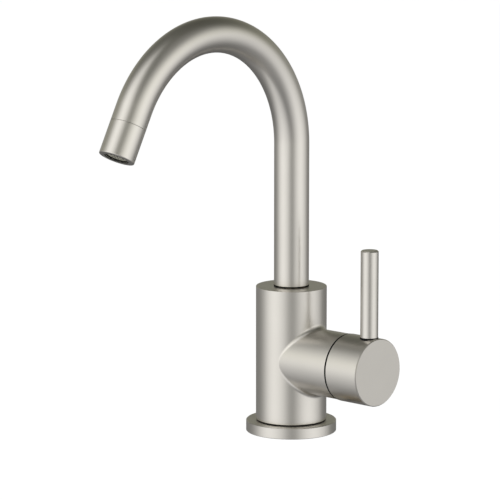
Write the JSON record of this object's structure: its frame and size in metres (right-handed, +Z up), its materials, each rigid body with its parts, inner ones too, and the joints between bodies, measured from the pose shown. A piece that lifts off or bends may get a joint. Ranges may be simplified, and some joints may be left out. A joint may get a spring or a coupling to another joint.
{
  "type": "gooseneck bar faucet",
  "caption": "Single-hole bar faucet: swivelling gooseneck spout on a round column, side valve housing with cylindrical hub and upright rod lever, deck flange and under-deck clamp.",
  "frame": {"origin": "on the column's axis at the underside of the base flange, where the faucet stands on the deck", "axes": "+Z up along the column, -Y the way the spout reaches, +X along the valve housing to the handle"},
  "size_m": [0.1007, 0.1921, 0.323],
  "materials": {
    "brushed_nickel": "satin brushed nickel plate, warm grey",
    "raw_brass": "machined, unplated",
    "stainless": "plain machined",
    "black_rubber": "matt",
    "black_plastic": "moulded, matt",
    "grey_plastic": "moulded, warm grey",
    "white_plastic": "moulded, satin",
    "ceramic": "lapped ceramic"
  },
  "bodies": {
    "faucet": {"base_flange": "brushed_nickel", "deck_gasket": "black_rubber", "centring_bush": "black_plastic", "mounting_shank": "raw_brass", "base_ring": "black_rubber", "faucet_body": "brushed_nickel", "cartridge_base": "white_plastic", "port_seals": "black_rubber", "fixed_disc": "ceramic", "cartridge_shell": "white_plastic", "retaining_nut": "raw_brass", "glide_ring": "black_plastic", "spout_set_screw": "stainless"},
    "handle": {"moving_disc": "ceramic", "cartridge_stem": "raw_brass", "stem_o_ring": "black_rubber", "handle_hub": "brushed_nickel", "hub_set_screw": "stainless", "lever_ring": "black_rubber", "lever_rod": "brushed_nickel"},
    "spout": {"spout_journal": "raw_brass", "slip_ring": "white_plastic", "spout_o_rings": "black_rubber", "spout_washer": "black_plastic", "spout_tube": "brushed_nickel", "outlet_sleeve": "brushed_nickel", "aerator_seal": "black_rubber", "flow_regulator": "black_rubber", "jet_disc": "white_plastic", "aerator_screen": "grey_plastic", "aerator_shell": "grey_plastic"},
    "deck_clamp": {"rubber_washer": "black_rubber", "steel_washer": "stainless", "locknut": "raw_brass", "lock_screws": "stainless"}
  },
  "joints": [
    {"name": "handle_turn", "type": "hinge", "parent": "faucet", "child": "handle", "pos_m": [0.0475, 0, 0.0471], "axis": [1, 0, 0], "range_deg": [0, 90]},
    {"name": "spout_swivel", "type": "hinge", "parent": "faucet", "child": "spout", "pos_m": [0, 0, 0.0928], "axis": [0, 0, 1], "continuous": true},
    {"name": "clamp_slide", "type": "slide", "parent": "faucet", "child": "deck_clamp", "axis": [0, 0, 1], "range_m": [-0.06, 0.0147]}
  ]
}
